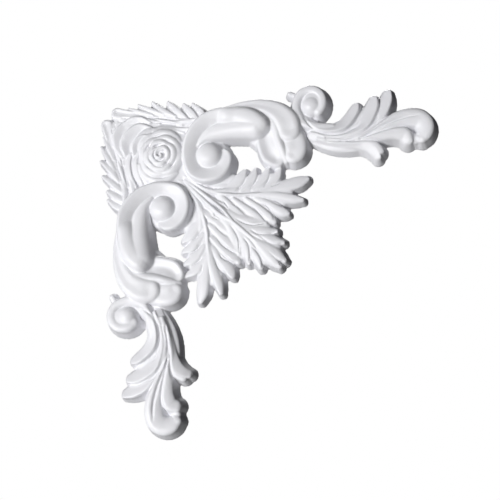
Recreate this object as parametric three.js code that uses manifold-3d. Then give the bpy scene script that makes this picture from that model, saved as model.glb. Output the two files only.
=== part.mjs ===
// A cast corner moulding for a wall or ceiling panel: one piece with a flat back.
// A rose sits in the corner, a C-scroll and an acanthus tail run out along each leg,
// a spray of leaves fills the inside of the corner and serrated leaves edge its outside.
//
// The plan is drawn with u along the right-hand leg and v down the other leg, from the rose.
// The right-hand leg is drawn once and turned over the diagonal for the other leg.
// Every strand of the carving is one closed strip with a flat back, a sloping wall and a crown.
// A strand is listed by guides: [u, v, half its width, height of its crest].

import * as THREE from 'three';
import Module from 'manifold-3d';

// Driving sizes, in millimetres
const legLength = 300; // outside edge of the corner to the tip of a leg
const relief = 24; // back to the highest point
const wallHeight = 7; // side of a strand, below its crown
const heelHeight = 12; // side of the C-scroll, below its crown
const draft = 3; // how far a wall leans out at the back, for the mould
const eyeRadius = 11; // button in the middle of a C-scroll
const eyeHeight = 20.5; // back to the top of the button
const voluteWidth = 9.2; // band of a tail's volute
const stemWidth = 4.6; // stem of a leaf
const bladeWidth = 10; // one blade of the spray
const bladeHeight = 11; // back to the crest of a blade
const middleBladeHeight = 12.6; // the same for the leaf on the diagonal
const toothWidth = 5.6; // one tooth of the back leaves
const toothHeight = 12.4; // back to the crest of a tooth
const roseRadius = 33; // rose, centre to its longest petals
const budHeight = 21.5; // back to the top of the bud
const roseEdgeHeight = 15; // back to the outermost petals
const petalStep = 2.4; // drop from a petal's lip to the next ring
const petalSweep = 128; // degrees that one petal goes round the rose
const webHeight = 8; // ground between the leaves
const tailWebHeight = 10; // ground between the lobes of a tail
const allowance = 1; // how far the strands reach behind the back, before it is cut flat
const finest = 0.02; // slivers thinner than this, left where strands cross, are dropped
const footShare = 0.6; // most of a low strand that its wall takes up
const capTurn = 0.92; // how much of a quarter turn a round end makes, so that its tip stays blunt

// Counts
const crownPoints = 5;
const ridgePoints = 3;
const bossSides = 16;
const bossRings = 3;
const petalRings = 3;
const petalsPerRing = 3;
const stationsPerPetal = 5;

// The plan was measured on a corner with legs of this length, and is scaled to legLength.
const measuredLeg = 296;
const measuredRelief = 24;
const across = legLength / measuredLeg;
const up = relief / measuredRelief;

const wasm = await Module();
wasm.setup();

const mix = (a, b, t) => a + (b - a) * t;

// Makes a manifold solid from vertices [x, y, z, ...] and triangles.
function solid(vertices, triangles) {
  return new wasm.Manifold(new wasm.Mesh({
    numProp: 3,
    vertProperties: new Float32Array(vertices),
    triVerts: new Uint32Array(triangles),
  }));
}

// Height of the crown over the wall, as a share of the whole rise, at side from -1 to 1.
// lean moves the crest towards one side, and dish hollows it between two rims.
function crown(side, dish, lean) {
  const reach = side < lean ? (lean - side) / (1 + lean) : (side - lean) / (1 - lean);
  return Math.sqrt(1 - reach ** 3) - dish * (1 - reach ** 2) ** 2;
}

// A carved strand through its guides. A round end goes on past the last guide and narrows as a
// half circle does. caps counts the rings of both ends, and an end that lies under others has none.
function strand(guides, { dish = 0, lean = 0, wall = wallHeight, points = crownPoints,
  stations = guides.length, caps = [0, 2] } = {}) {
  const curve = new THREE.CatmullRomCurve3(
    guides.map(([u, v]) => new THREE.Vector3(u * across, v * across, 0)), false, 'centripetal');
  const steps = [];
  for (let k = caps[0]; k > 0; k--) steps.push([0, -k / caps[0]]);
  for (let i = 0; i < stations; i++) steps.push([i / (stations - 1), 0]);
  for (let k = 1; k <= caps[1]; k++) steps.push([1, k / caps[1]]);
  const rings = steps.map(([t, cap]) => {
    const place = t * (guides.length - 1);
    const low = Math.min(Math.floor(place), guides.length - 2);
    const read = (column) => mix(guides[low][column], guides[low + 1][column], place - low);
    const here = curve.getPoint(t);
    const along = curve.getTangent(t);
    const half = read(2) * across;
    const turn = (cap * capTurn * Math.PI) / 2;
    const round = Math.cos(turn);
    here.addScaledVector(along, Math.sin(turn) * half);
    const foot = Math.min(wall, read(3) * footShare) * up;
    const rise = (read(3) * up - foot) * Math.sqrt(round);
    const ring = [[1 + draft / half, -allowance], [-1 - draft / half, -allowance]];
    for (let j = 0; j < points; j++) {
      const even = -Math.cos((Math.PI * j) / (points - 1));
      const side = even + lean * (1 - even * even);
      ring.push([side, foot + rise * crown(side, dish, lean)]);
    }
    return ring.map(([side, height]) => [
      here.x - along.y * side * half * round,
      -height,
      -(here.y + along.x * side * half * round),
    ]);
  });
  return skin(rings);
}

// A flat ground under other strands, of one height.
const web = (guides, high = webHeight) => strand(guides.map(([u, v, half]) => [u, v, half, high]),
  { points: ridgePoints, caps: [1, 1] });

// A round boss: rings of one circle that rise from the back, up the wall and over a dome.
function boss([u, v], radius, high, wall = wallHeight) {
  const rings = [[radius + draft, -allowance], [radius, wall * up]];
  for (let i = 1; i < bossRings; i++) {
    const lift = (i / bossRings) * (Math.PI / 2);
    rings.push([radius * Math.cos(lift), mix(wall, high, Math.sin(lift)) * up]);
  }
  return skin(rings.map(([reach, height]) => Array.from({ length: bossSides }, (_, k) => {
    const angle = (-2 * Math.PI * k) / bossSides;
    return [u * across + reach * Math.cos(angle), -height, -(v * across + reach * Math.sin(angle))];
  })));
}

// Closes a row of rings with a flat fan at each end.
function skin(rings) {
  const n = rings[0].length;
  const triangles = [];
  for (let i = 0; i + 1 < rings.length; i++) {
    for (let j = 0; j < n; j++) {
      const a = i * n + j;
      const b = i * n + ((j + 1) % n);
      triangles.push(a, b, a + n, b, b + n, a + n);
    }
  }
  const last = (rings.length - 1) * n;
  for (let j = 1; j + 1 < n; j++) {
    triangles.push(0, j + 1, j, last, last + j, last + j + 1);
  }
  return solid(rings.flat(2), triangles);
}

// The C-scroll: a band that curls round an eye, runs out over the top and ends in a round nose.
function cScroll() {
  const eye = [43.5, 1];
  const heel = { wall: heelHeight };
  return [
    boss(eye, eyeRadius, eyeHeight),
    boss([43.5, 3.5], eyeRadius + wallHeight, 13),
    strand([[57, 2, 5, 16.5], [52, 15.5, 7, 18], [43.5, 18.5, 7.5, 18.5], [32, 15, 7.5, 19],
      [27, 3, 7, 19.5], [29, -11, 7.4, 21], [34.5, -20.5, 8, 22.5], [43.5, -27.5, 8.5, 23.5],
      [58, -30.5, 8.6, 24], [72, -28.5, 9.6, 24], [85, -21.5, 11, 24]],
    { ...heel, dish: 0.08, lean: -0.3, stations: 13 }),
    strand([[38, -11, 2.5, 19.5], [50, -18.5, 7.8, 22], [66, -21, 9.4, 22.8], [86, -20, 11, 24]], heel),
    strand([[60, -38.5, 2, 18], [78, -39, 4.5, 19.5], [94, -36, 7, 20], [106, -29, 9.5, 20],
      [113, -14, 10.6, 19]], { ...heel, dish: 0.15 }),
    strand([[88, -33, 6, 16], [100, -21, 7.5, 18], [103.5, -7, 6.5, 17], [109, 13, 3, 13]],
      { ...heel, points: ridgePoints, caps: [0, 1] }),
    strand([[93, -10, 10, 15.5], [94, -2, 9.5, 15.5], [101, 10, 7.5, 14]], { dish: 0.5 }),
    strand([[117, -8, 9.5, 15], [119.5, 1, 10, 16], [117, 10, 7.5, 15.5]], { dish: 0.12, wall: 10 }),
    web([[88, -18, 14], [98, -8, 14], [106, 0, 11], [112, 7, 8]], 12),
  ];
}

// The acanthus tail: a volute at its root, three lobes rising above it, and an end that curls under.
function tail() {
  const band = voluteWidth / 2 / across;
  const volute = [[150, -12.5, 14], [136, -14.5, 14], [125, -20.5, 15], [121, -30, 15.5],
    [124, -39.5, 16.5], [132, -43.5, 17], [140.5, -40, 17.5], [143.5, -32, 17], [140.5, -25, 16]];
  return [
    strand(volute.map(([u, v, high]) => [u, v, band, high]), { wall: 11, points: ridgePoints, stations: 10 }),
    boss([135, -30.5], voluteWidth, 17),
    strand([[123, -41, 3.4, 10.5], [114.5, -45.5, 2.2, 9]], { points: ridgePoints, caps: [0, 1] }),
    web([[124, -24, 9], [132, -32, 12], [136, -34, 9]]),
    strand([[124, -27, 4.4, 14], [133, -16, 4.6, 14.5], [146.5, -11.5, 4.6, 14.5], [158, -13, 5.6, 14.5],
      [169, -26, 4.6, 13]], { lean: 0.3, points: ridgePoints }),
    strand([[132.5, -10.5, 2.6, 13.5], [150, -5, 3.4, 14.5], [168, -6.5, 5.4, 15.2], [180, -17, 6.6, 15.3],
      [183, -30, 5.8, 13.5]], { lean: 0.4, points: ridgePoints }),
    strand([[137.5, -6.5, 2.2, 13.5], [155.5, -2, 2.8, 14.5], [174, -4.5, 4.4, 15.5],
      [189, -15, 6, 15.4], [195.5, -34, 5.6, 13.5]], { lean: 0.4, points: ridgePoints }),
    strand([[155.5, 0, 2, 14], [176, -1, 3.5, 15], [190, -6, 5, 16], [204, -11, 6.3, 16.5],
      [217, -10.5, 7.6, 16.5], [227, -2, 7.6, 16], [224.5, 8.5, 5.4, 14]],
    { dish: 0.3, stations: 10, caps: [0, 3] }),
    strand([[159.5, 3, 2, 14], [178, 2.5, 3, 15], [196, 0.5, 4.5, 15.5], [209, 4.5, 6.2, 15.2],
      [211, 10, 4.8, 13.5]], { dish: 0.3, stations: 6 }),
    strand([[137, -3, 2, 13.5], [155, 3.5, 2.7, 14.5], [176.5, 6.5, 2.9, 14.5], [187, 10.5, 2.9, 14],
      [188, 16, 2.1, 12.5]], { points: ridgePoints, caps: [0, 1] }),
    strand([[130.5, -4.5, 4.6, 12], [145, 5, 5.8, 13], [162, 11, 5.2, 13.5], [178, 14, 5.4, 13.5],
      [182.5, 17.5, 3.7, 12.5]], { lean: -0.3, points: ridgePoints }),
    web([[124, -18, 7], [137, -8, 9], [153, -1, 10], [172, 0, 10], [192, -6, 8], [215, 0, 9]], tailWebHeight),
    web([[150, -8, 5], [166, -10, 8], [178, -16, 9], [186, -20, 8]], tailWebHeight),
  ];
}

// Pointed blades from root to tip, each of its own share of the usual width.
function blades(rows, width, high, lean) {
  return rows.map(([share, ...places]) => {
    const half = (share * width) / 2 / across;
    const last = places.length - 1;
    const widths = places.map((_, i) => (i === 0 ? 0.55 : i === last ? 0.3 : 1) * half);
    return strand(places.map(([u, v], i) => [u, v, widths[i], (i === last ? 0.9 : 1) * (high / up)]),
      { lean, points: ridgePoints, caps: [0, 1] });
  });
}

// The leaf beside a C-scroll, with stems that come from under the rose.
function sideLeaf() {
  const half = stemWidth / 2 / across;
  const stem = { points: ridgePoints, caps: [0, 1] };
  return [
    strand([[20.5, 17.5, half, 13], [36, 28.5, half, 13.5], [53, 33, half * 1.4, 12],
      [64.5, 32.5, half * 1.5, 11]], stem),
    strand([[22, 22, half, 13.5], [37, 35, half, 14], [52.5, 44, half, 12.5],
      [62, 45, half * 0.7, 11.5]], stem),
    strand([[40, 32, half, 12], [60, 37, half, 12.8], [93.5, 39.5, half * 0.6, 12]], stem),
    ...blades([
      [1.08, [54.5, 33], [64, 26.5], [72, 18]], [0.92, [68, 33.5], [77, 25.5], [81.5, 17.5]],
      [0.92, [78.5, 34], [87.5, 26.5], [92, 18.5]], [0.92, [88, 34.5], [97.5, 27], [102.5, 19]],
      [1.18, [87, 37], [107, 33], [124, 29.5]],
    ], bladeWidth, bladeHeight, 0.4),
    ...blades([
      [0.94, [78, 39.5], [101, 43], [119, 47]], [1.12, [50.5, 35.5], [63, 48.5], [73, 59.5]],
      [1.02, [62.5, 40], [77, 52], [88.5, 63.5]], [0.94, [74, 41.5], [87, 52], [96, 62.5]],
      [0.98, [81.5, 41.5], [97, 50], [107, 57]],
    ], bladeWidth, bladeHeight, -0.4),
    web([[30, 24, 8], [50, 36, 12], [74, 40, 11], [96, 40, 8]]),
    web([[14, 12, 14], [32, 23, 12], [59, 27, 10]]),
  ];
}

// Half of the middle leaf, beside the diagonal.
function middleLeaf() {
  const half = stemWidth / 2 / across;
  return [
    strand([[20.5, 21, half, 13.5], [40, 43, half, 14.5], [61.5, 61.5, half * 0.9, 14],
      [81, 81, half * 0.6, 13]], { points: ridgePoints, caps: [0, 1] }),
    ...blades([
      [0.8, [42, 48], [54, 62], [61, 84.5]], [0.82, [52, 56], [62.5, 73], [64, 88]],
      [0.9, [61, 63], [71, 80], [73, 96]], [0.94, [69, 70.5], [80, 86.5], [83.5, 101.5]],
      [1.04, [76.5, 76.5], [89, 91.5], [98, 102.5]],
    ], bladeWidth, middleBladeHeight, -0.4),
    web([[20, 20, 8], [44, 44, 12], [62, 66, 12], [78, 84, 9]]),
    web([[64, 64, 10], [88, 88, 9]]),
  ];
}

// The rose: a bud on a low cone, with rings of petals round it that get lower further out.
function rose() {
  const centre = [1.5, -2.5];
  const parts = [
    boss(centre, roseRadius, roseEdgeHeight),
    boss(centre, roseRadius * 0.6, mix(roseEdgeHeight, budHeight, 0.5)),
  ];
  for (let ring = 0; ring < petalRings; ring++) {
    const share = ring / (petalRings - 1);
    const radius = mix(7, roseRadius - 10.5, share) / across;
    const top = mix(budHeight, roseEdgeHeight, share * 0.85);
    const half = mix(2.6, 3.4, share);
    for (let k = 0; k < petalsPerRing; k++) {
      const from = (360 * k) / petalsPerRing + ring * 50 - 120;
      const path = Array.from({ length: stationsPerPetal }, (_, i) => {
        const along = i / (stationsPerPetal - 1);
        const angle = THREE.MathUtils.degToRad(from + along * petalSweep);
        // A petal bows out in its middle, where it is also widest and highest.
        const bow = Math.sin(along * Math.PI);
        const reach = radius * mix(0.93, 1.05, bow);
        return [centre[0] + reach * Math.cos(angle), centre[1] + reach * Math.sin(angle),
          half * mix(0.7, 1, bow), top - mix(0.9, 0, bow)];
      });
      parts.push(strand(path, { wall: top - petalStep, points: ridgePoints, caps: [0, 1] }));
    }
  }
  return parts;
}

// Petals and leaves that open behind the rose, towards the outside of the corner.
function backLeaf() {
  const half = stemWidth / 2 / across;
  const tooth = { points: ridgePoints, caps: [0, 1] };
  return [
    strand([[-8, -24.5, 3, 14.6], [-18, -29, 3.5, 15], [-26.5, -21, 3, 14.4]], { ...tooth, stations: 5 }),
    strand([[-13, -10, 2.5, 16], [-16, -1, 3.2, 16.2], [-12, 15, 2.5, 14.4]], tooth),
    strand([[-26, -10.5, 2.5, 14.4], [-28.5, 2, 2.8, 14.4], [-23.5, 21.5, 2.3, 13.2]], tooth),
    strand([[34, -30.5, half * 1.2, 13], [11.5, -33.5, half * 1.2, 13], [-6, -40, half * 1.3, 12.5],
      [-36, -42.5, half * 1.2, 11]], tooth),
    strand([[29, -23, half * 1.3, 13], [3, -28.5, half * 1.3, 12.5], [-14, -33.5, half * 1.3, 12.2],
      [-32.5, -36.5, half * 1.1, 11]], tooth),
    ...blades([
      [1, [-8, -42], [-19.5, -47.5], [-28.5, -52.5]], [1.1, [3, -40], [-8, -48], [-19, -56]],
      [1.1, [11, -37], [0, -47], [-9, -57.5]], [1.1, [21, -34], [12, -45], [4, -55]],
      [1.1, [30, -30], [22.5, -41], [16.5, -51]], [1.1, [36.5, -29], [30, -40], [23.5, -49]],
    ], toothWidth, toothHeight, 0.4),
    strand([[-23, -45, 3.2, 11.4], [-42, -47, 4.8, 11]], { points: ridgePoints, caps: [0, 2] }),
    web([[34, -33, 8], [10, -40, 9], [-16, -43, 8], [-34, -43, 7]]),
    web([[8, -28, 10], [-16, -33, 11], [-35, -38, 9]], 9),
  ];
}

// Joins strands pairwise, which keeps the intermediate solids small.
function joined(parts) {
  let row = parts;
  while (row.length > 1) {
    const next = [];
    for (let i = 0; i < row.length; i += 2) {
      next.push(i + 1 < row.length ? row[i].add(row[i + 1]) : row[i]);
    }
    row = next;
  }
  return row[0];
}

// Turns a solid over the diagonal of the corner: u and v change places.
function overDiagonal(shape) {
  const { vertProperties, triVerts } = shape.getMesh();
  const vertices = [];
  for (let i = 0; i < vertProperties.length; i += 3) {
    vertices.push(-vertProperties[i + 2], vertProperties[i + 1], -vertProperties[i]);
  }
  const triangles = [];
  for (let i = 0; i < triVerts.length; i += 3) {
    triangles.push(triVerts[i], triVerts[i + 2], triVerts[i + 1]);
  }
  return solid(vertices, triangles);
}

const leg = joined([...cScroll(), ...tail(), ...sideLeaf(), ...middleLeaf(), ...backLeaf()]);
const whole = joined([leg, overDiagonal(leg), joined(rose())]).trimByPlane([0, -1, 0], 0)
  .simplify(finest);

const { vertProperties, triVerts } = whole.getMesh();
const geometry = new THREE.BufferGeometry();
geometry.setAttribute('position', new THREE.BufferAttribute(vertProperties, 3));
geometry.setIndex(new THREE.BufferAttribute(triVerts, 1));
geometry.computeVertexNormals();

const moulding = new THREE.Mesh(geometry,
  new THREE.MeshStandardMaterial({ color: 0xeeeef2, roughness: 0.45, metalness: 0 }));
moulding.name = 'corner_moulding';

const group = new THREE.Group();
group.add(moulding);

export default group;
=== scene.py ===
# %% [markdown]
# # A cast corner moulding
#
# The ornament is one white casting, about 300 mm along each leg, with a flat back that is
# glued to a wall or a ceiling panel. A rose fills the corner. Out of it grow two C-scrolls,
# and out of those two acanthus tails. A spray of leaves fills the inside of the corner.
#
# A carver cuts such a pattern strand by strand, and this script does the same. The relief is a
# table of heights over the plan, one for every half millimetre. Each strand raises the table
# to its own section along a path, and grooves are cut in afterwards. The table then becomes
# one closed skin, as the casting takes all the strokes of the pattern at once.

# %% Load the fixed frame
import math

import bpy
import numpy as np
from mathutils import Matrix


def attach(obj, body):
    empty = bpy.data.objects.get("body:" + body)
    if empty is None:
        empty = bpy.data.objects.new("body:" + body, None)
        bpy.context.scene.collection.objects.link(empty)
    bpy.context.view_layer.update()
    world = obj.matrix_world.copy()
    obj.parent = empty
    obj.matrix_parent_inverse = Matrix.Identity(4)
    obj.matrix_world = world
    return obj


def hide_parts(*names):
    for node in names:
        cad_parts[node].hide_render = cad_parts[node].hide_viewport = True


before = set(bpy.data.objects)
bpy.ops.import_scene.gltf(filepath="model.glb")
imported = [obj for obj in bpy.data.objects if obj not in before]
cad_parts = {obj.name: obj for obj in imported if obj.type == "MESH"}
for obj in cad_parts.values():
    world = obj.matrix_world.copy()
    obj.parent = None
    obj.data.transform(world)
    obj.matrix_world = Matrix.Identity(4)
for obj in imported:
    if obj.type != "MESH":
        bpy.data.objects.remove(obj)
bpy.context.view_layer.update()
NODE = "corner_moulding"

# %% [markdown]
# ## Camera, before any shape
#
# The photograph looks at the front from a little below and from the right, so the walls that
# face down and right can be seen. A lens of 72 mm on a 36 mm sensor gives the mild
# perspective of the picture: the near tail is larger than the far one.

# %% Camera
CAMERA_PLACE = (0.2274, -0.8145, -0.281)
CAMERA_TURN = (103.34, 2.92, 11.44)
LENS = 72.0
SENSOR = 36.0

camera_data = bpy.data.cameras.new("camera")
camera_data.lens = LENS
camera_data.sensor_width = SENSOR
camera = bpy.data.objects.new("camera", camera_data)
bpy.context.collection.objects.link(camera)
camera.location = CAMERA_PLACE
camera.rotation_euler = [math.radians(angle) for angle in CAMERA_TURN]
bpy.context.scene.camera = camera
print("camera is", round(float(np.linalg.norm(CAMERA_PLACE)), 3), "m from the rose")

# %% [markdown]
# ## A smooth path through a few guide points
#
# Each strand is given by guides: a place in the plan (u along the right-hand leg, v down the
# other one), half the width there, and the height of the crest, all in millimetres. A handful
# of guides is enough, because a cubic curve runs smoothly through them. A smooth curve
# keeps the shading clean, which straight steps would not.

# %% Paths
LEG = 300.0
MEASURED_LEG = 296.0
MM = 0.001 * LEG / MEASURED_LEG


def smooth(guides, count):
    """Rows of a table at count places along a cubic through all guides.

    The cubic between two guides is set by both values and both slopes, and the slope at a
    guide is the change from its left neighbour to its right one over the distance between
    them. Distance is measured along the plan, so close guides bend more tightly."""
    guides = np.asarray(guides, float)
    hops = np.linalg.norm(np.diff(guides[:, :2], axis=0), axis=1)
    knots = np.concatenate([[0.0], np.cumsum(hops)])
    slopes = np.gradient(guides, knots, axis=0)
    where = np.linspace(0.0, knots[-1], count)
    span = np.clip(np.searchsorted(knots, where, side="right") - 1, 0, len(knots) - 2)
    width = (knots[span + 1] - knots[span])[:, None]
    t = ((where - knots[span])[:, None]) / width
    near = (1 + 2 * t) * (1 - t) ** 2 * guides[span] + t * (1 - t) ** 2 * width * slopes[span]
    far = t**2 * (3 - 2 * t) * guides[span + 1] - t**2 * (1 - t) * width * slopes[span + 1]
    return near + far, where


def spiral(centre, angles, radii, widths, heights, count=9):
    """Guides on a spiral: the angle runs evenly from first to last, and the radius, half width
    and height are read off their own short lists at the same share of the way."""
    share = np.linspace(0, 1, count)
    read = lambda values: np.interp(share, np.linspace(0, 1, len(values)), values)
    angle = np.radians(np.linspace(*angles, count))
    radius = read(radii)
    return np.column_stack([centre[0] + radius * np.cos(angle), centre[1] + radius * np.sin(angle),
                            read(widths), read(heights)])


# %% [markdown]
# ## One strand of the carving
#
# A strand's section is an upright edge with a crown on it. The crown can be round or flat,
# hollow between two rims (dish) or heavier on one side (lean), which is how acanthus lobes
# overlap like shingles. Both ends are round. Where strands cross, the higher one wins, so
# they meet in a sharp crease. Nothing overhangs, and the casting leaves its mould.

# %% Strands
CELL = 0.5
LOW_END, HIGH_END = -64.0, 244.0
EDGE = 7.0
WALL = 2.2
HIGHEST_EDGE = 0.74
STEP = 0.8
NARROWEST = 0.4
LEAST_LEFT = 1.0
axis = np.arange(LOW_END, HIGH_END, CELL)
single = np.zeros((len(axis), len(axis)))
paired = np.zeros((len(axis), len(axis)))
count_of = {"strands": 0, "grooves": 0}


def nearest_side(rows, wall=WALL):
    """The part of the table round a path, and for each of its cells how far across the strand it
    lies, how far ahead of the strand's end, and the half width and height of the strand there.

    A cell belongs to the place on the path whose distance over half width is smallest, so the
    strand is the union of discs along its path and never folds over itself in a tight turn."""
    reach = rows[:, 2:3] + wall + CELL
    low = np.maximum(((rows[:, :2] - reach).min(axis=0) - LOW_END) // CELL, 0).astype(int)
    high = ((rows[:, :2] + reach).max(axis=0) - LOW_END) // CELL + 2
    window = (slice(low[0], int(high[0])), slice(low[1], int(high[1])))
    u, v = np.meshgrid(axis[window[0]], axis[window[1]], indexing="ij")
    heading = np.gradient(rows[:, :2], axis=0)
    heading /= np.linalg.norm(heading, axis=1)[:, None]
    best = np.full(u.shape, np.inf)
    across, ahead, half, high = (np.zeros(u.shape) for _ in range(4))
    for (cu, cv, width, top), (hu, hv) in zip(rows, heading):
        du, dv = u - cu, v - cv
        ratio = (du * du + dv * dv) / width**2
        won = ratio < best
        best[won] = ratio[won]
        across[won] = ((du * -hv + dv * hu) / width)[won]
        ahead[won] = ((du * hu + dv * hv) / width)[won]
        half[won] = width
        high[won] = top
    return window, across, ahead, half, high


def strand(guides, dish=0.0, lean=0.0, slope=0.0, power=3.0, edge=EDGE, wall=WALL, both=True):
    """Raises the table to a strand along a path, on both legs or only once.

    The side runs from -1 to 1 across the strand, and lean moves its middle. The crown is the
    root of 1 - radius to a power, where the radius is made up of side and ahead, and dish times
    (1 - radius squared) squared is taken off it. A slope takes its share of the height away
    evenly from the crest to the side it doesn't lean to. Outside the strand the edge falls to
    nothing within the width of a wall. The edge is at most a set share of the crest's height."""
    length = np.linalg.norm(np.diff(np.asarray(guides, float)[:, :2], axis=0), axis=1).sum()
    rows, _ = smooth(guides, max(6, int(length / STEP)))
    rows[:, 2] = np.maximum(rows[:, 2], NARROWEST)
    window, across, ahead, half, high = nearest_side(rows, wall)
    outside = (np.hypot(across, ahead) - 1) * half / wall
    side = np.where(across < lean, (across - lean) / (1 + lean), (across - lean) / (1 - lean))
    radius = np.clip(np.hypot(side, ahead), 0, 1)
    crown = np.sqrt(1 - radius**power) - dish * (1 - radius**2) ** 2
    crown *= 1 - slope * np.clip(-side * np.sign(lean), 0, 1)
    low = np.minimum(edge, high * HIGHEST_EDGE)
    height = np.where(outside > 0, low * np.clip(1 - outside, 0, 1), low + (high - low) * crown)
    table = paired if both else single
    table[window] = np.maximum(table[window], height)
    count_of["strands"] += 1 + both


def boss(centre, radius, high, both=True, power=2.0):
    """Raises a round dome: the same section as a strand's, round one point."""
    rows = [(centre[0] - 0.1, centre[1], radius, high), (centre[0] + 0.1, centre[1], radius, high)]
    strand(rows, power=power, both=both)


def groove(guides):
    """Cuts a groove along a path, on both legs. The fourth number of a guide is the depth, and
    the section is a smooth V: depth times (1 - side squared) squared."""
    length = np.linalg.norm(np.diff(np.asarray(guides, float)[:, :2], axis=0), axis=1).sum()
    rows, _ = smooth(guides, max(6, int(length / STEP)))
    rows[:, 2] = np.maximum(rows[:, 2], NARROWEST)
    window, across, ahead, half, depth = nearest_side(rows)
    radius = np.clip(np.hypot(across, ahead), 0, 1)
    cut = np.maximum(paired[window] - depth * (1 - radius**2) ** 2, LEAST_LEFT)
    paired[window] = np.where(paired[window] > 0, cut, 0)
    count_of["grooves"] += 2


# %% [markdown]
# ## C-scrolls
#
# The scroll is a thick band that curls round a domed eye, swells as it runs out over the top
# and ends in a round nose. A second, hollow lobe follows it outside, and two short cups hang
# below, so the whole reads as a C with a leafy back. The band is two strands that part at the
# eye and melt together at the nose.

# %% C-scrolls
EYE = (43.5, 1)
HEEL = 12.0
boss(EYE, 12.5, 20.5, power=3)
boss((43.5, 3.5), 18, 13)
strand([(56, -1, 3, 15), (58, 4, 5.5, 17), (54, 14, 7, 18), (43.5, 18.5, 7.5, 18.5),
        (32, 15, 7.5, 19), (27.5, 5, 7, 19.5), (28, -8, 7.2, 21), (33.5, -19, 8, 22.5),
        (43.5, -27.5, 8.5, 23.5), (56, -30.5, 8.5, 24), (70, -29, 9, 23.5)], lean=-0.55,
       slope=0.4, power=3, edge=HEEL)
strand([(48, -27.5, 2, 18), (58, -30, 7.6, 23.8), (70, -29, 9.6, 24), (82, -24, 11.4, 24),
        (86.5, -20, 11.2, 23.8)], lean=-0.3, slope=0.08, power=3, edge=HEEL)
strand([(34, -8, 1.5, 17), (40, -14, 4.2, 18.5), (50, -18.5, 7.4, 20), (62, -20, 9, 21.2),
        (75, -20, 10.5, 22.4), (85, -19, 11.2, 23.4)], lean=-0.1, power=2.6, edge=HEEL)
print("strands after the bands:", count_of["strands"])

# %% [markdown]
# The outer lobe and the two cups have raised rims, so their section is dished. A narrow ridge
# runs between the nose and the outer lobe and on down between the cups, where the carver left
# the web between two gouge cuts.

# %% Lobes and cups
strand([(60, -38.5, 2, 18), (78, -39, 4.5, 19.5), (94, -36, 7, 20), (106, -29, 9.5, 20),
        (112.5, -19, 11, 19.5), (113.5, -12.5, 10, 18.5)], dish=0.15, power=4, edge=HEEL)
strand([(88, -33, 4.5, 16), (97, -27, 5, 17.6), (102, -17, 5, 17.6), (103.5, -7, 4.2, 17),
        (107, 4.5, 3.4, 15.8), (109, 13, 2.4, 13)], power=2, edge=HEEL)
strand([(93, -10, 10, 15.5), (94, -2, 9.5, 15.5), (97, 6, 9.5, 15), (101, 10, 7.5, 14)], dish=0.5,
       power=4, edge=9)
strand([(116, -8, 9.5, 15), (118, 0, 10, 16), (117.5, 5.5, 9.5, 16), (115.5, 8.5, 7.5, 15.5)],
       dish=0.12, power=4, edge=10, wall=3)
strand([(88, -18, 14, 13), (98, -8, 14, 12), (106, 0, 11, 11), (112, 7, 8, 10)])

# %% [markdown]
# ## Acanthus tails
#
# The tail grows out of the scroll's heel. A volute curls back at its root, and from one thick
# stem the lobes fan out: three rise, two long ones bend over at the end, and two hang. Each lobe
# starts narrow on the stem and opens like a spoon. Its crest lies near one side and slopes away
# to the other (slope), so that it steps down to its neighbour.

# %% Volute
strand([(150, -12.5, 3.4, 13.5), (136, -14.5, 4, 14), (125.5, -19.5, 4, 14.5),
        (121.5, -27, 4, 15.5), (121, -36.5, 4.2, 16), (125, -43.5, 4.4, 16.5),
        (132, -46.5, 4.6, 17), (138.5, -44.5, 4.8, 17.3), (142.5, -39, 4.8, 17.3),
        (142.5, -32.5, 4.8, 17), (139, -27.5, 4.6, 16)], lean=-0.2, edge=11, wall=3.5)
boss((133.5, -33.5), 10, 18, power=2.4)
boss((136, -36), 11, 16.5, power=5)
strand([(123, -42, 3.4, 10.5), (118, -46, 2.6, 9.5), (115, -47.5, 2.6, 10)])
strand([(124, -24, 9, 8), (132, -32, 12, 8), (136, -34, 9, 8)])

# %% [markdown]
# The lobes are listed from the volute outwards: three that rise, two that bend over at the end
# and two that hang. Three low webs tie them together at the back.

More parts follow.
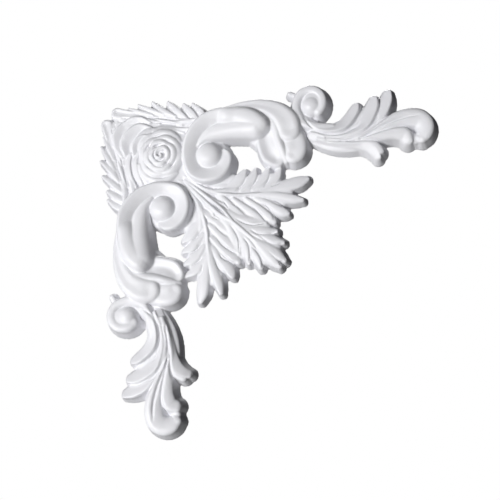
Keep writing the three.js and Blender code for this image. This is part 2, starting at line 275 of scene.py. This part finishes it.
# %% Lobes of the tail
RISING_EDGE, BENT_EDGE, HANGING_EDGE = 9.0, 12.5, 11.0
LOBE_POWER, LOBE_WALL = 2.7, 3.2
for edge, lean, slope, guides in (
        (RISING_EDGE, 0.6, 0.6, ((124, -27, 4.4, 14), (128.5, -20.5, 4.6, 14.5),
                                 (135, -15, 4.6, 14.5), (146.5, -11.5, 4.8, 15),
                                 (158.5, -13.5, 5.8, 15), (166, -20.5, 5.2, 14.5),
                                 (169.5, -26, 4.6, 14), (170.5, -29, 3.4, 13))),
        (RISING_EDGE, 0.65, 0.6, ((132.5, -10.5, 2.6, 13.5), (147.5, -5.5, 3.4, 14.5),
                                  (162.5, -5, 5, 15.5), (174, -10, 6.4, 16),
                                  (181, -19, 6.4, 15.5), (184.5, -27.5, 5.8, 14.5),
                                  (185.5, -32.5, 4, 13.5))),
        (RISING_EDGE, 0.65, 0.6, ((137.5, -6.5, 2.2, 13.5), (155.5, -2, 3, 14.5),
                                  (172.5, -4, 4.6, 16), (185, -12, 6, 16),
                                  (192.5, -22, 6.4, 15.5), (196, -30.5, 6, 14.5),
                                  (197.5, -36.5, 4, 13.5))),
        (BENT_EDGE, -0.35, 0.3, ((155.5, 0, 2, 14), (174, -1, 3.6, 15), (189.5, -6, 5.4, 16.5),
                                 (204, -11.5, 7, 17), (214, -12.5, 7.8, 17),
                                 (222.5, -10, 8, 16.5), (226, -4.5, 7.8, 16), (225.5, 1, 7, 15.5),
                                 (222.5, 5, 5.6, 14.5))),
        (BENT_EDGE, -0.35, 0.3, ((159.5, 3, 2, 14), (177, 2.5, 3.2, 15), (192, 0, 4.6, 16),
                                 (202, -0.5, 5.8, 16), (208.5, 1.5, 6.2, 15.5),
                                 (210.5, 6, 5.2, 14.5))),
        (HANGING_EDGE, -0.2, 0.2, ((137, -3, 2, 13.5), (151, 1.5, 2.4, 14), (165, 3.5, 3, 14.2),
                                   (177, 4.5, 3.6, 14.2), (184, 8, 4, 14),
                                   (187.5, 13, 3.8, 13.4))),
        (HANGING_EDGE, -0.6, 0.55, ((131, -7, 3.6, 12), (145, -1.5, 4, 13.5), (159, 2.5, 4, 14),
                                    (171, 5, 4.4, 14), (179, 8.5, 4.8, 14),
                                    (183.5, 13.5, 4.4, 13.5), (185, 17.5, 3.4, 12.5)))):
    strand(guides, lean=lean, slope=slope, power=LOBE_POWER, edge=edge, wall=LOBE_WALL)
strand([(124, -18, 7, 8), (137, -8, 9, 9), (153, -1, 10, 10), (172, 0, 10, 10.5),
        (192, -6, 8, 10.5), (208, -2, 9, 10)])
strand([(150, -8, 5, 10), (166, -12, 8, 10.5), (178, -18, 9.5, 11), (188, -22, 8, 11)])
strand([(202, 0, 6, 11), (210, 3, 6, 12), (217, 6, 4.5, 12)])
print("strands after the tails:", count_of["strands"])

# %% [markdown]
# Where two lobes meet, the carver's gouge left a crease. It starts shallow on the stem and
# follows the lobe to its tip.

# %% Creases of the tail
CREASE_HALF, CREASE_DEPTH = 1.0, 2.1
TAIL_CREASE_HALF, TAIL_CREASE_DEPTH = 1.7, 1.7


def creases(lines, half=CREASE_HALF, depth=CREASE_DEPTH):
    """Cuts one groove along each line of places. It gets shallower towards both ends."""
    for places in lines:
        share = np.linspace(0, 1, len(places))
        widths = half * np.interp(share, [0, 0.2, 0.8, 1], [0.5, 1, 1, 0.8])
        depths = depth * np.interp(share, [0, 0.2, 0.8, 1], [0.3, 1, 1, 0.7])
        groove(np.column_stack([places, widths, depths]))


creases((((173, -14), (171, -11), (164.5, -8), (154, -5), (142.5, -7.5), (133.5, -12.5),
          (126.5, -22.5)),
         ((189, -17.5), (187.5, -14), (183, -9), (172.5, -4), (159, -1.5), (144, -3.5)),
         ((202, -20.5), (199, -17.5), (189.5, -11), (179, -4.5), (169, -0.5), (157, 1),
          (144, -0.5)),
         ((221, -12.5), (209.5, -12), (197.5, -9), (185.5, -4.5), (172, 1)),
         ((220.5, 5), (216, -0.5), (208.5, -5), (199, -4.5), (188, -2.5), (176, 0), (162, 1)),
         ((192, 10.5), (188, 5.5), (178, 3), (166, 2.5), (156, 1))),
        half=TAIL_CREASE_HALF, depth=TAIL_CREASE_DEPTH)
print("grooves after the tails:", count_of["grooves"])

# %% [markdown]
# ## Leaf spray
#
# Three leaves fill the inside of the corner: one on the diagonal, and one beside each scroll.
# A leaf is a stem with leaflets on both sides. They're listed by the places they run through,
# from root to tip, because their tips make the ragged edge that shows against the wall, and
# all of them share one section.

# %% Leaflets
LEAFLET_EDGE = 7.5
LEAFLET_POWER = 2.6


def leaflet(places, half, high, lean):
    """A pointed blade through a few places, from root to tip. It's widest past the middle, and
    its crest lies near one side, where it ends in a small step down to the next blade."""
    share = np.linspace(0, 1, len(places))
    widths = half * np.interp(share, [0, 0.25, 0.6, 0.85, 1], [0.55, 0.85, 1.0, 0.86, 0.5])
    heights = high * np.interp(share, [0, 0.6, 1], [1.0, 1.0, 0.9])
    strand(np.column_stack([places, widths, heights]), lean=lean, power=LEAFLET_POWER,
           edge=LEAFLET_EDGE)


for half, high, lean, places in (
        (5.4, 10.6, 0.55, ((54.5, 33), (61.5, 28), (68, 23), (72, 17))),
        (4.6, 10.8, 0.55, ((68, 33.5), (74, 28), (78.5, 23.5), (81.5, 16.5))),
        (4.6, 11, 0.55, ((78.5, 34), (84.5, 29.5), (89, 24.5), (92.5, 17.5))),
        (4.6, 11, 0.55, ((88, 34.5), (94, 30.5), (99, 25.5), (102.5, 18))),
        (5.9, 11.4, 0.4, ((87, 37), (97, 34.5), (109, 33), (118.5, 31.5), (125, 29.5))),
        (4.7, 11.8, -0.4, ((78, 39.5), (90, 40.5), (103.5, 43.5), (112.5, 46), (120, 47.5))),
        (5.2, 12.2, -0.55, ((49, 36), (54.5, 43), (62.5, 52), (67.5, 57.5), (72.5, 61))),
        (5, 11.9, -0.55, ((61, 41), (68, 48), (77, 56), (83, 61.5), (88, 65))),
        (4.6, 11.6, -0.55, ((72, 42), (79, 48.5), (86.5, 55.5), (91.5, 60.5), (95.5, 64))),
        (4.8, 11.3, -0.55, ((80, 42.5), (89, 47.5), (97.5, 53.5), (103, 56.5), (107, 58)))):
    leaflet(places, half, high, lean)

# %% [markdown]
# The middle leaf lies on the diagonal, so its blades are listed for one side only, and the other
# side is their mirror image.

# %% Blades of the middle leaf
for half, high, lean, places in (
        (4.0, 12.6, -0.5, ((42, 48), (49, 55.5), (56.5, 66), (60, 76.5), (61.5, 85))),
        (4.1, 12.6, -0.5, ((52, 56), (59, 66), (63.5, 78), (64, 88.5))),
        (4.5, 12.6, -0.5, ((60, 63.5), (66.5, 74), (70, 85.5), (72, 97))),
        (4.7, 12.6, -0.5, ((67.5, 71.5), (73.5, 82), (78, 92), (82, 102))),
        (5.2, 12.8, -0.4, ((76, 77), (83.5, 86.5), (90.5, 95.5), (97.5, 102.5)))):
    leaflet(places, half, high, lean)

# %% [markdown]
# The stems run out of the rose in a bundle. Broad low strands fill the leaves behind the blades,
# so that no blade hangs in the air.

# %% Stems of the spray
for guides in (
        ((20.5, 17.5, 2.6, 13), (31, 25, 2.6, 13.5), (41, 31, 2.8, 13), (53, 33, 3.4, 12),
         (64.5, 32.5, 3.6, 10.8)),
        ((22, 22.5, 2.1, 13.5), (32.5, 31, 2.4, 14), (42.5, 38.5, 2.4, 13.5),
         (52.5, 44, 2.2, 12.5), (62, 45, 1.6, 11.5)),
        ((40, 32, 2, 12), (53, 35.5, 2, 12.8), (66.5, 38, 2, 12.6), (80, 38.5, 1.8, 12.4),
         (93.5, 39.5, 1.2, 12)),
        ((20.5, 21, 2.1, 13.5), (29, 31, 2.4, 14.5), (40, 43, 2.4, 14.5), (50.5, 53.5, 2.2, 14),
         (61.5, 61.5, 2, 14), (71.5, 71, 1.9, 13.8), (81, 81, 1.3, 13)),
        ((18, 14, 2.4, 13), (26, 20.5, 2.6, 13), (36, 27, 2.4, 12.5), (46, 32, 2, 12))):
    strand(guides, power=2.2)
strand([(30, 24, 8, 9), (50, 36, 12, 10), (74, 40, 13, 10.2), (94, 41, 11, 10.2),
        (104, 41, 9, 10)], power=5)
strand([(56, 46, 10, 9.5), (82, 53, 7, 9.8)], power=5)
strand([(62, 28, 5, 10), (80, 26, 5, 10.3), (98, 26, 5, 10.3)], power=5)
strand([(14, 12, 14, 9), (32, 23, 12, 9), (59, 27, 10, 9)])
strand([(20, 20, 8, 9), (44, 46, 11, 10.5), (60, 66, 13, 11), (70, 82, 11, 11)], power=5)
strand([(60, 60, 14, 10.5), (76, 76, 18, 11), (87, 87, 13, 11)], power=5, both=False)
print("strands after the spray:", count_of["strands"])

# %% [markdown]
# The blades hardly stand out of the leaf. What draws them is a thin crease that the carver cut
# along one side of each, from the stem towards the tip.

# %% Creases of the spray
creases((((22.5, 16), (34, 24.5), (39.5, 28), (52.5, 30.5)),
         ((25, 22), (33.5, 31), (43.5, 42.5), (51.5, 52), (58.5, 56.5), (67, 60), (75, 64),
          (86, 66.5)),
         ((21.5, 27.5), (30, 36.5), (36.5, 46), (42.5, 50), (50, 57)),
         ((53, 41), (56.5, 46.5), (58, 52)), ((59, 44), (67.5, 49.5), (72, 55), (73.5, 59.5)),
         ((72, 45.5), (80, 51), (85.5, 58.5), (89, 64)),
         ((83, 46), (90.5, 50), (94, 56.5), (95.5, 62)),
         ((89, 43), (99, 46.5), (104.5, 51), (107, 53.5)), ((74, 21), (71, 28), (64.5, 33.5)),
         ((84.5, 18), (83, 25), (77, 33)), ((94.5, 21.5), (92.5, 27.5), (89, 32.5)),
         ((106.5, 25), (102.5, 30.5), (95.5, 33))))
creases((((58, 62.5), (62, 69), (65, 77), (64.5, 87)),
         ((68, 74.5), (72.5, 80), (74, 88), (72.5, 96.5)),
         ((74, 82), (80, 88.5), (83.5, 97.5), (83, 102)), ((91, 88), (96.5, 92.5), (98.5, 101))))
print("grooves after the spray:", count_of["grooves"])

# %% [markdown]
# ## Rose
#
# The bud is a tight spiral, and petals lie round it in rings, each a thin lip that leans
# outwards and falls away inside. The rings get lower and their petals longer to the outside.
# The scrolls cover the rose's lower right, so the outer petals only open to the upper left.

# %% Rose
ROSE = (1.5, -2.5)
PETAL_CROWN = 2.4
PETAL_DROP = 0.9
PETAL_TIP = 0.6
boss(ROSE, 33, 15, both=False, power=3)
boss(ROSE, 25, 16.5, both=False, power=2.5)
boss(ROSE, 13, 18.8, both=False)
strand(spiral(ROSE, (-40, 300), (1.2, 2.6, 5.2), (1.3, 1.7, 1.3), (21.5, 21.5, 20.6)), edge=18,
       both=False)


def petal(radii, angles, half, high):
    """A petal's lip: an arc round the rose from one angle to another, whose radius swells in the
    middle of the petal. Its crest leans outwards, where it steps down to the next ring. Angles
    run from the right-hand leg towards the other one."""
    widths = (half * PETAL_TIP, half, half, half * PETAL_TIP)
    heights = (high - PETAL_DROP, high, high, high - PETAL_DROP)
    strand(spiral(ROSE, angles, radii, widths, heights), lean=0.55, power=2.4,
           edge=high - PETAL_CROWN, both=False)


for radii, angles, half, high in (
        ((6.5, 8, 8, 7.2), (-120, 60), 2.6, 21), ((6.5, 8, 8, 7.2), (40, 150), 2.6, 20.8),
        ((6.5, 8, 8, 7.2), (130, 260), 2.6, 20.9), ((11, 13, 12.8, 11.6), (-70, 50), 2.8, 20),
        ((11, 13, 12.8, 11.6), (30, 150), 2.8, 19.8),
        ((11, 12.5, 12.6, 11.6), (120, 235), 2.8, 19.8),
        ((11, 13, 12.8, 11.6), (215, 310), 2.8, 19.9),
        ((15.5, 17.5, 17.4, 16), (-110, 0), 3, 18.6),
        ((15.5, 17.5, 17.4, 16), (-20, 95), 3, 18.4), ((15.5, 17, 17.2, 16), (70, 180), 3, 18.2),
        ((15.5, 17.5, 17.4, 16), (165, 268), 3, 18.4),
        ((20.5, 22.5, 22.4, 21), (-125, -35), 3.2, 17),
        ((20.5, 22.5, 22.4, 21), (50, 165), 3.2, 16.8),
        ((20.5, 22.5, 22.4, 21), (200, 262), 3.4, 16.8),
        ((26, 27.5, 27.6, 26), (208, 262), 3.6, 15.6)):
    petal(radii, angles, half, high)

# %% [markdown]
# The outermost petals are broad lips that stand one behind the other and slope down to the bud.
# Three lie beside each scroll, and four cross the diagonal towards the corner.

# %% Outer petals
for guides in (
        ((-13, -10, 2.5, 16), (-16, -3, 3.2, 16.4), (-16, 6, 3.1, 16.2), (-12, 15, 2.5, 14.4)),
        ((-20, -8, 2.5, 15.2), (-22.5, -1, 3.2, 15.6), (-22, 8.5, 3.2, 15.2),
         (-18, 19.5, 2.4, 13.6)),
        ((-27, -8, 2.5, 14.4), (-29, 0, 3, 14.6), (-28, 10.5, 3, 14.4),
         (-23.5, 21.5, 2.3, 13.4))):
    strand(guides, lean=-0.5, slope=0.3, power=2.4, edge=11.5)
for guides in (
        ((-33, -8, 3, 13.6), (-37, -18, 5, 14.2), (-37, -29, 5.5, 14.2), (-31, -36, 4, 13.4)),
        ((-30, -9, 3, 14.2), (-31, -19, 5, 15.2), (-25.5, -26.5, 5.5, 15.4), (-18, -31, 5, 15.2),
         (-9, -29.5, 3, 14.2)),
        ((-22, -8, 2.5, 16), (-21, -14.5, 4, 17), (-15, -20.5, 4, 17), (-7.5, -21, 2.5, 16))):
    strand(guides, lean=-0.6, slope=0.5, power=2.6, edge=11.5, both=False)
strand([(-31, -35, 3, 13.4), (-26, -38.5, 4, 14), (-18, -39, 4, 13.8), (-10, -35, 3, 13.4)],
       lean=-0.6, slope=0.5, power=2.6, edge=11, both=False)
print("strands after the rose:", count_of["strands"])

# %% [markdown]
# ## Serrated leaves behind the rose
#
# A leaf lies along each outside edge. Its teeth slant away from the stem towards the corner of
# the moulding, and three strands run beside the stem under the rose. The last tooth points
# into the corner.

# %% Back leaves
strand([(36, -30, 12, 11), (12, -35, 14, 11.5), (-12, -36, 14.5, 11.5), (-32, -38, 11.5, 11)],
       power=5)
boss((-24, -24), 20, 12.5, both=False, power=4)
for half, high, lean, places in (
        (3.2, 12.2, 0.5, ((-6, -42), (-18, -46.5), (-28, -51.5))),
        (3.6, 12.6, 0.5, ((4, -41), (-8, -47), (-19, -53.5))),
        (4.2, 13, 0.5, ((14, -38), (3, -45), (-6, -54))),
        (4.4, 13.2, 0.5, ((25, -34), (16, -43), (8, -52.5))),
        (4.6, 13.5, 0.5, ((35, -30), (29, -39), (22, -48.5))),
        (4.4, 13.4, 0.5, ((41.5, -28), (38, -38), (30, -48))),
        (3.4, 13.6, 0.5, ((38, -33), (22, -32.5), (8, -37))),
        (3.2, 13.2, 0.5, ((20, -30), (6, -34.5), (-8, -41))),
        (3.4, 12.8, 0.5, ((0, -34), (-13, -38), (-25, -42))),
        (3.6, 13.8, 0.5, ((32, -24), (16, -26), (3, -30)))):
    leaflet(places, half, high, lean)
strand([(-18, -43, 4, 12), (-30, -46, 5.2, 12.8), (-39, -48.5, 6, 12.2)], lean=0.2, dish=0.35,
       power=4)

# %% [markdown]
# The same thin creases run between the teeth and beside the stem.

# %% Creases of the back leaves
creases((((27, -29), (14, -31.5), (0, -34.5), (-14, -36.5)),
         ((26, -33.5), (12, -36), (-3, -39.5), (-16, -42)), ((15, -27.5), (2, -29.5), (-9, -30)),
         ((34, -27), (22, -27.5), (12, -29.5)), ((-10, -39), (-22, -41.5), (-34, -43.5)),
         ((-16, -34), (-27, -37.5), (-38, -41))))

print("strands in all:", count_of["strands"])

# %% [markdown]
# ## One skin over the whole relief
#
# The table of heights becomes a closed block: a top, a flat back, and a strip along the
# outline. A voxel remesh then lays even cells over it, on the steep walls too, which a table
# can't describe well, and a light smoothing takes out the steps. The flat parts need few
# faces, so a decimation keeps the faces for the creases.

# %% Block from the table
THINNEST = 0.8

paired = np.maximum(paired, paired.T)
heights = np.maximum(single, paired)
solid = heights > THINNEST
filled = solid[:-1, :-1] & solid[1:, :-1] & solid[:-1, 1:] & solid[1:, 1:]
size = len(axis)
number = np.arange(size * size).reshape(size, size)
i, j = np.nonzero(filled)
top = np.column_stack([number[i, j], number[i, j + 1], number[i + 1, j + 1], number[i + 1, j]])
padded = np.pad(filled, 1)
walls = []
for (di, dj), (first, second) in (((-1, 0), ((0, 0), (0, 1))), ((1, 0), ((1, 1), (1, 0))),
                                  ((0, -1), ((1, 0), (0, 0))), ((0, 1), ((0, 1), (1, 1)))):
    i, j = np.nonzero(filled & ~padded[1 + di:size + di, 1 + dj:size + dj])
    a, b = number[i + first[0], j + first[1]], number[i + second[0], j + second[1]]
    walls.append(np.column_stack([b, a, a + size * size, b + size * size]))
u, v = np.meshgrid(axis, axis, indexing="ij")
front = np.stack([u, -heights, -v], axis=-1).reshape(-1, 3)
back = np.stack([u, np.zeros_like(u), -v], axis=-1).reshape(-1, 3)
faces = np.vstack([top, top[:, ::-1] + size * size, *walls])
used, faces = np.unique(faces, return_inverse=True)
points = np.vstack([front, back])[used] * MM
faces = faces.reshape(-1, 4)
print("block:", len(points), "points,", len(faces), "faces")

# %% [markdown]
# The three modifiers are applied one after the other, so that the mesh is a finished one.

# %% Even cells, then fewer faces
VOXEL = 0.55
SMOOTHING = 3
MOST_FACES = 185000


def mesh_of(name, points, quads):
    """A mesh from an array of points and an array of quads, filled in bulk."""
    mesh = bpy.data.meshes.new(name)
    mesh.vertices.add(len(points))
    mesh.vertices.foreach_set("co", points.ravel())
    mesh.loops.add(quads.size)
    mesh.loops.foreach_set("vertex_index", quads.ravel())
    mesh.polygons.add(len(quads))
    mesh.polygons.foreach_set("loop_start", np.arange(0, quads.size, 4))
    mesh.update(calc_edges=True)
    return mesh


def apply_modifiers(obj):
    """Replaces the object's mesh by the one that its modifiers give."""
    evaluated = obj.evaluated_get(bpy.context.evaluated_depsgraph_get())
    mesh = bpy.data.meshes.new_from_object(evaluated)
    obj.modifiers.clear()
    obj.data = mesh


casting = bpy.data.objects.new("moulding", mesh_of("moulding", points, faces))
bpy.context.collection.objects.link(casting)
remesh = casting.modifiers.new("even cells", "REMESH")
remesh.mode = "VOXEL"
remesh.voxel_size = VOXEL * MM
soften = casting.modifiers.new("soften", "SMOOTH")
soften.factor = 0.5
soften.iterations = SMOOTHING
apply_modifiers(casting)
triangles = len(casting.data.loops) - 2 * len(casting.data.polygons)
print("even cells:", triangles, "triangles")
thin_out = casting.modifiers.new("fewer faces", "DECIMATE")
thin_out.ratio = min(1.0, MOST_FACES / triangles)
apply_modifiers(casting)
print("kept:", len(casting.data.loops) - 2 * len(casting.data.polygons), "triangles")

# %% [markdown]
# The smoothing rounds the lowest rim a little. Points near the back go back into its plane.

# %% Press the back flat
BACK_BAND = 0.6

cells = np.empty(len(casting.data.vertices) * 3)
casting.data.vertices.foreach_get("co", cells)
cells = cells.reshape(-1, 3)
near_back = cells[:, 1] > -BACK_BAND * MM
cells[near_back, 1] = 0.0
casting.data.vertices.foreach_set("co", cells.ravel())
casting.data.update()
casting.data.polygons.foreach_set("use_smooth", np.ones(len(casting.data.polygons), bool))
print("points on the back:", int(near_back.sum()))

# %% [markdown]
# ## Satin primer
#
# The casting comes primed: a smooth white coat, slightly cool, with a soft shine. A very fine
# bump stands for the primer's grain, and the coat lies a touch greyer in some places. The
# variation is a node group, so that its scale and strength are set from the material.

# %% Primer material


def coat_group():
    """A group that turns a position into a colour mask and a height: slow noise for the mask,
    fine noise for the height."""
    group = bpy.data.node_groups.new("primer coat", "ShaderNodeTree")
    group.interface.new_socket("Vector", in_out="INPUT", socket_type="NodeSocketVector")
    group.interface.new_socket("Patch scale", in_out="INPUT", socket_type="NodeSocketFloat")
    group.interface.new_socket("Grain scale", in_out="INPUT", socket_type="NodeSocketFloat")
    group.interface.new_socket("Mask", in_out="OUTPUT", socket_type="NodeSocketFloat")
    group.interface.new_socket("Height", in_out="OUTPUT", socket_type="NodeSocketFloat")
    entry = group.nodes.new("NodeGroupInput")
    leave = group.nodes.new("NodeGroupOutput")
    for source, target in (("Patch scale", "Mask"), ("Grain scale", "Height")):
        noise = group.nodes.new("ShaderNodeTexNoise")
        noise.inputs["Detail"].default_value = 3.0
        group.links.new(entry.outputs["Vector"], noise.inputs["Vector"])
        group.links.new(entry.outputs[source], noise.inputs["Scale"])
        group.links.new(noise.outputs["Fac"], leave.inputs[target])
    return group


def primer():
    """White satin paint: the mask mixes two near whites and moves the roughness a little."""
    material = bpy.data.materials.new("primed_white")
    material.use_nodes = True
    nodes, links = material.node_tree.nodes, material.node_tree.links
    shader = nodes["Principled BSDF"]
    place = nodes.new("ShaderNodeTexCoord")
    coat = nodes.new("ShaderNodeGroup")
    coat.node_tree = coat_group()
    coat.inputs["Patch scale"].default_value = 28.0
    coat.inputs["Grain scale"].default_value = 900.0
    links.new(place.outputs["Object"], coat.inputs["Vector"])
    colour = nodes.new("ShaderNodeMix")
    colour.data_type = "RGBA"
    colour.inputs["A"].default_value = (0.80, 0.80, 0.835, 1.0)
    colour.inputs["B"].default_value = (0.88, 0.88, 0.90, 1.0)
    links.new(coat.outputs["Mask"], colour.inputs["Factor"])
    links.new(colour.outputs["Result"], shader.inputs["Base Color"])
    rough = nodes.new("ShaderNodeMapRange")
    rough.inputs["To Min"].default_value = 0.36
    rough.inputs["To Max"].default_value = 0.50
    links.new(coat.outputs["Mask"], rough.inputs["Value"])
    links.new(rough.outputs["Result"], shader.inputs["Roughness"])
    bump = nodes.new("ShaderNodeBump")
    bump.inputs["Strength"].default_value = 0.08
    bump.inputs["Distance"].default_value = 0.0004
    links.new(coat.outputs["Height"], bump.inputs["Height"])
    links.new(bump.outputs["Normal"], shader.inputs["Normal"])
    return material


casting.data.materials.clear()
casting.data.materials.append(primer())
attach(casting, "root")
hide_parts(NODE)
print("the casting replaces", NODE)

# %% [markdown]
# ## Light, background and floor
#
# The light comes from the lower left and the front. Slopes that face it are nearly white, and
# the walls at the upper right of each form fall to dark grey, which draws the leaves. The
# background is white to the camera only: lit by it, the walls would lose their shade. A weak
# lamp behind shows the flat back when the moulding is turned.

# %% Light
LOWER_LEFT = (-0.66, -0.22, -0.72)
FALL_FROM, DARK, BRIGHT = 0.35, 0.02, 0.8
KEY_PLACE, KEY_POWER = (-0.9, -1.7, -0.4), 33.5
BACK_PLACE, BACK_POWER = (0.0, 1.0, 1.4), 12.0
LAMP_AIM, LAMP_SIZE = (0.08, 0.0, -0.08), 0.6


def studio():
    """A world that is white to the camera. To the object it's bright at the lower left and falls
    to almost nothing on the other side: its strength follows the dot product of the direction
    with the one to the lower left."""
    world = bpy.data.worlds.new("studio")
    world.use_nodes = True
    nodes, links = world.node_tree.nodes, world.node_tree.links
    place = nodes.new("ShaderNodeTexCoord")
    facing = nodes.new("ShaderNodeVectorMath")
    facing.operation = "DOT_PRODUCT"
    facing.inputs[1].default_value = LOWER_LEFT
    links.new(place.outputs["Generated"], facing.inputs[0])
    fall = nodes.new("ShaderNodeMapRange")
    fall.inputs["From Min"].default_value = FALL_FROM
    fall.inputs["From Max"].default_value = 1.0
    fall.inputs["To Min"].default_value = DARK
    fall.inputs["To Max"].default_value = BRIGHT
    links.new(facing.outputs["Value"], fall.inputs["Value"])
    dim = nodes["Background"]
    dim.inputs["Color"].default_value = (0.93, 0.94, 1.0, 1.0)
    links.new(fall.outputs["Result"], dim.inputs["Strength"])
    white = nodes.new("ShaderNodeBackground")
    white.inputs["Color"].default_value = (1.0, 1.0, 1.0, 1.0)
    white.inputs["Strength"].default_value = 1.0
    path = nodes.new("ShaderNodeLightPath")
    pick = nodes.new("ShaderNodeMixShader")
    links.new(path.outputs["Is Camera Ray"], pick.inputs["Fac"])
    links.new(dim.outputs["Background"], pick.inputs[1])
    links.new(white.outputs["Background"], pick.inputs[2])
    links.new(pick.outputs["Shader"], nodes["World Output"].inputs["Surface"])
    return world


bpy.context.scene.world = studio()


def area_light(name, place, aim, size, power):
    """A square area light at place that faces aim."""
    data = bpy.data.lights.new(name, "AREA")
    data.size = size
    data.energy = power
    lamp = bpy.data.objects.new(name, data)
    bpy.context.collection.objects.link(lamp)
    lamp.location = place
    direction = np.array(aim) - np.array(place)
    flat = math.hypot(direction[0], direction[1])
    lamp.rotation_euler = (math.atan2(flat, -direction[2]), 0.0,
                           math.atan2(-direction[0], direction[1]))
    return lamp


area_light("key", KEY_PLACE, LAMP_AIM, LAMP_SIZE, KEY_POWER)
area_light("back", BACK_PLACE, LAMP_AIM, LAMP_SIZE, BACK_POWER)
bpy.context.scene.view_settings.view_transform = "Standard"

# %% [markdown]
# A plain grey floor well below the moulding takes the eye's level in the views from the side.

# %% Floor
FLOOR_BELOW = 0.9
HALF_FLOOR = 2.0
FLOOR_GREY = (0.6, 0.6, 0.6, 1.0)
corners = [(x * HALF_FLOOR, y * HALF_FLOOR, -FLOOR_BELOW)
           for x, y in ((-1, -1), (1, -1), (1, 1), (-1, 1))]
floor_mesh = bpy.data.meshes.new("floor")
floor_mesh.from_pydata(corners, [], [(0, 1, 2, 3)])
floor = bpy.data.objects.new("floor", floor_mesh)
bpy.context.collection.objects.link(floor)
floor_paint = bpy.data.materials.new("floor")
floor_paint.use_nodes = True
paint = floor_paint.node_tree.nodes["Principled BSDF"]
paint.inputs["Base Color"].default_value = FLOOR_GREY
floor_mesh.materials.append(floor_paint)
